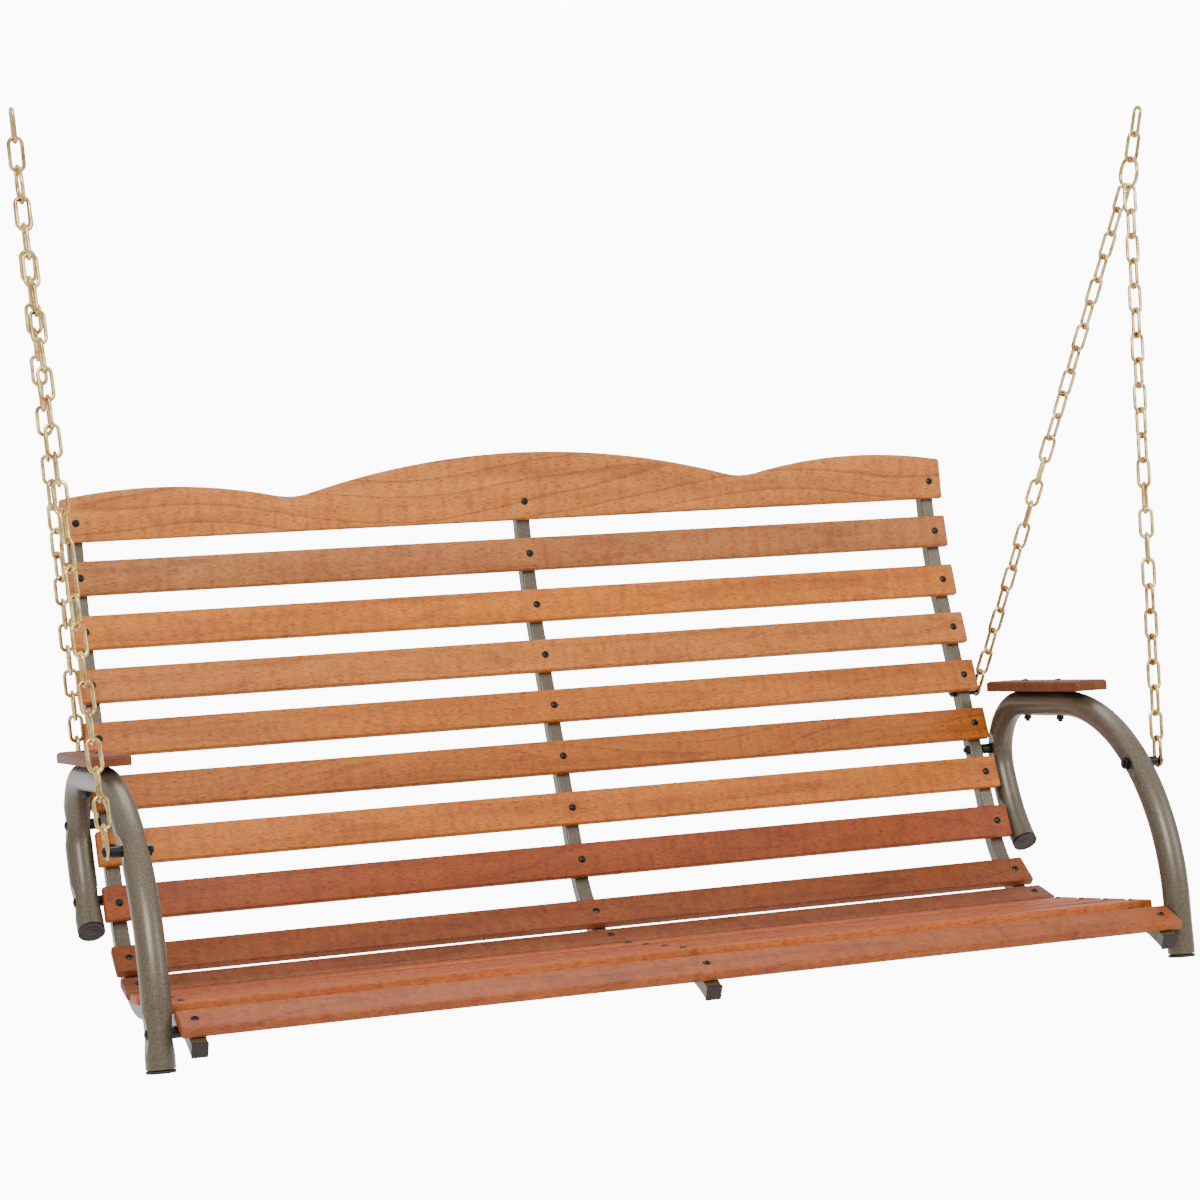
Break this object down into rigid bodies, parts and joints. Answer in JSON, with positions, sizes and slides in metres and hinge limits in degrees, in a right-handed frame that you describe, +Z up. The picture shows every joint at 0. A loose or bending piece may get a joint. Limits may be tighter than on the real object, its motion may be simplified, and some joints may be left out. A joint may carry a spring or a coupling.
{
  "type": "porch swing",
  "caption": "Slatted hardwood bench with a curved crest board on bent steel ribs and tubular arms, hung by chains from a ring on each side.",
  "frame": {"origin": "midway between the two hanging points, at the inside top of the top links", "axes": "+X to the right as seen from the front, +Z up, the sitter faces -Y; the bench hangs at rest"},
  "size_m": [1.47, 0.7593, 1.084],
  "materials": {
    "oiled_hardwood": "oiled hardwood with fine dark pores, eased edges",
    "bronze_powder_coat": "bronze powder coat with a fine metallic speckle",
    "end_plugs": "dark brown moulded plastic",
    "black_hardware": "black oxide steel, semi-gloss",
    "yellow_zinc": "yellow zinc plate over steel, bright"
  },
  "bodies": {
    "top_links": {"top_link_left": "yellow_zinc", "top_link_right": "yellow_zinc"},
    "upper_links": {"upper_link_left": "yellow_zinc", "upper_link_right": "yellow_zinc"},
    "seat": {"crest_board": "oiled_hardwood", "back_slat_2": "oiled_hardwood", "back_slat_3": "oiled_hardwood", "back_slat_4": "oiled_hardwood", "back_slat_5": "oiled_hardwood", "back_slat_6": "oiled_hardwood", "back_slat_7": "oiled_hardwood", "back_slat_8": "oiled_hardwood", "back_slat_9": "oiled_hardwood", "seat_slat_1": "oiled_hardwood", "seat_slat_2": "oiled_hardwood", "seat_slat_3": "oiled_hardwood", "seat_slat_4": "oiled_hardwood", "seat_slat_5": "oiled_hardwood", "seat_slat_6": "oiled_hardwood", "rib_left": "bronze_powder_coat", "rib_center": "bronze_powder_coat", "rib_right": "bronze_powder_coat", "rib_front_plugs": "end_plugs", "rib_top_plugs": "end_plugs", "slat_screws_left": "black_hardware", "slat_screws_center": "black_hardware", "slat_screws_right": "black_hardware", "slat_nuts_left": "black_hardware", "slat_nuts_center": "black_hardware", "slat_nuts_right": "black_hardware", "arm_tube_left": "bronze_powder_coat", "arm_tube_right": "bronze_powder_coat", "arm_rear_cap_left": "end_plugs", "arm_foot_cap_left": "end_plugs", "armrest_left": "oiled_hardwood", "armrest_bolts_left": "black_hardware", "armrest_nuts_left": "black_hardware", "arm_bolts_left": "black_hardware", "arm_spacers_left": "black_hardware", "arm_nuts_left": "black_hardware", "chain_bolts_left": "black_hardware", "chain_spacers_left": "black_hardware", "chain_nuts_left": "black_hardware", "chain_front_left": "yellow_zinc", "chain_rear_left": "yellow_zinc", "ring_left": "yellow_zinc", "arm_rear_cap_right": "end_plugs", "arm_foot_cap_right": "end_plugs", "armrest_right": "oiled_hardwood", "armrest_bolts_right": "black_hardware", "armrest_nuts_right": "black_hardware", "arm_bolts_right": "black_hardware", "arm_spacers_right": "black_hardware", "arm_nuts_right": "black_hardware", "chain_bolts_right": "black_hardware", "chain_spacers_right": "black_hardware", "chain_nuts_right": "black_hardware", "chain_front_right": "yellow_zinc", "chain_rear_right": "yellow_zinc", "ring_right": "yellow_zinc"}
  },
  "joints": [
    {"name": "swing", "type": "hinge", "parent": "top_links", "child": "upper_links", "pos_m": [0, 0, -0.03033], "axis": [1, 0, 0], "range_deg": [-30, 30]},
    {"name": "seat_pitch", "type": "hinge", "parent": "upper_links", "child": "seat", "pos_m": [0, 0, -0.06789], "axis": [1, 0, 0], "range_deg": [-20, 20]}
  ]
}
